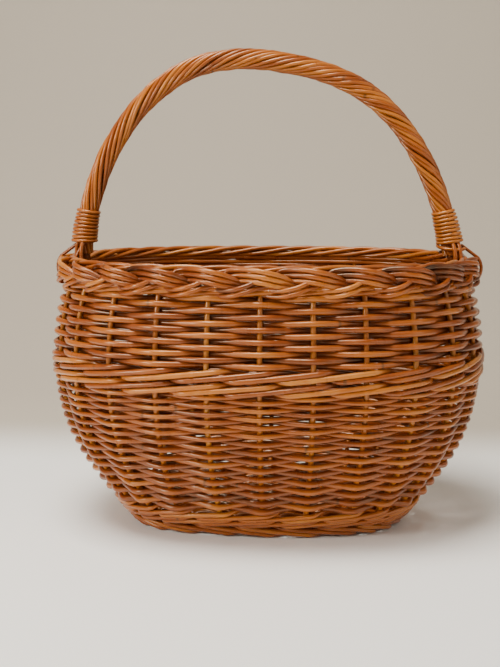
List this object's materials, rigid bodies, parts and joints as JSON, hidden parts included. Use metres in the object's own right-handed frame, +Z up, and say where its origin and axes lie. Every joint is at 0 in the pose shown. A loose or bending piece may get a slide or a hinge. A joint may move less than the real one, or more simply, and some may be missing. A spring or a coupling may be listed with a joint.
{
  "type": "woven market basket",
  "caption": "Oval woven willow market basket with a bulging body, plaited border, raised foot and a fixed rope-wrapped bow handle.",
  "frame": {"origin": "On the ground under the middle of the basket: the bottom centre of its bounding box.", "axes": "+X along the basket, from one handle foot to the other; +Y across it, away from its front; +Z up."},
  "size_m": [0.4386, 0.306, 0.4733],
  "materials": {
    "base_stick": "peeled willow stick, stained orange-brown and varnished",
    "stake": "round willow rod, stained orange-brown and varnished",
    "border_rod": "peeled willow rod, stained orange-brown, glossy varnish",
    "bow": "thick willow rod, stained and varnished",
    "wrap_rod": "long peeled willow rod, stained orange-brown, glossy varnish",
    "binding_rod": "thin peeled willow rod, stained orange-brown, glossy varnish",
    "wale_rod": "stout peeled willow rod, stained orange-brown, glossy varnish",
    "weaving_rod": "thin peeled willow rod, stained orange-brown, glossy varnish"
  },
  "bodies": {
    "root": {"base_long_sticks": "base_stick", "base_short_sticks": "base_stick", "base_weave_top": "weaving_rod", "base_weave_underside": "weaving_rod", "side_stakes": "stake", "foot_pegs": "stake", "foot_border": "wale_rod", "upsett_wale": "wale_rod", "lower_row_01": "weaving_rod", "lower_row_02": "weaving_rod", "lower_row_03": "weaving_rod", "lower_row_04": "weaving_rod", "lower_row_05": "weaving_rod", "lower_row_06": "weaving_rod", "lower_row_07": "weaving_rod", "lower_row_08": "weaving_rod", "lower_row_09": "weaving_rod", "lower_row_10": "weaving_rod", "lower_row_11": "weaving_rod", "lower_row_12": "weaving_rod", "lower_row_13": "weaving_rod", "lower_row_14": "weaving_rod", "lower_row_15": "weaving_rod", "lower_row_16": "weaving_rod", "lower_row_17": "weaving_rod", "lower_row_18": "weaving_rod", "lower_row_19": "weaving_rod", "lower_row_20": "weaving_rod", "lower_row_21": "weaving_rod", "lower_row_22": "weaving_rod", "lower_row_23": "weaving_rod", "lower_row_24": "weaving_rod", "lower_row_25": "weaving_rod", "lower_row_26": "weaving_rod", "lower_row_27": "weaving_rod", "lower_row_28": "weaving_rod", "middle_wale_lower": "wale_rod", "middle_wale_upper": "wale_rod", "upper_row_01": "weaving_rod", "upper_row_02": "weaving_rod", "upper_row_03": "weaving_rod", "upper_row_04": "weaving_rod", "upper_row_05": "weaving_rod", "upper_row_06": "weaving_rod", "upper_row_07": "weaving_rod", "upper_row_08": "weaving_rod", "upper_row_09": "weaving_rod", "upper_row_10": "weaving_rod", "upper_row_11": "weaving_rod", "upper_row_12": "weaving_rod", "border_strand_1": "border_rod", "border_strand_2": "border_rod", "border_strand_3": "border_rod", "handle_bow": "bow", "handle_wrap": "wrap_rod", "left_binding": "binding_rod", "right_binding": "binding_rod", "left_tie_rod": "binding_rod", "right_tie_rod": "binding_rod"}
  },
  "joints": []
}
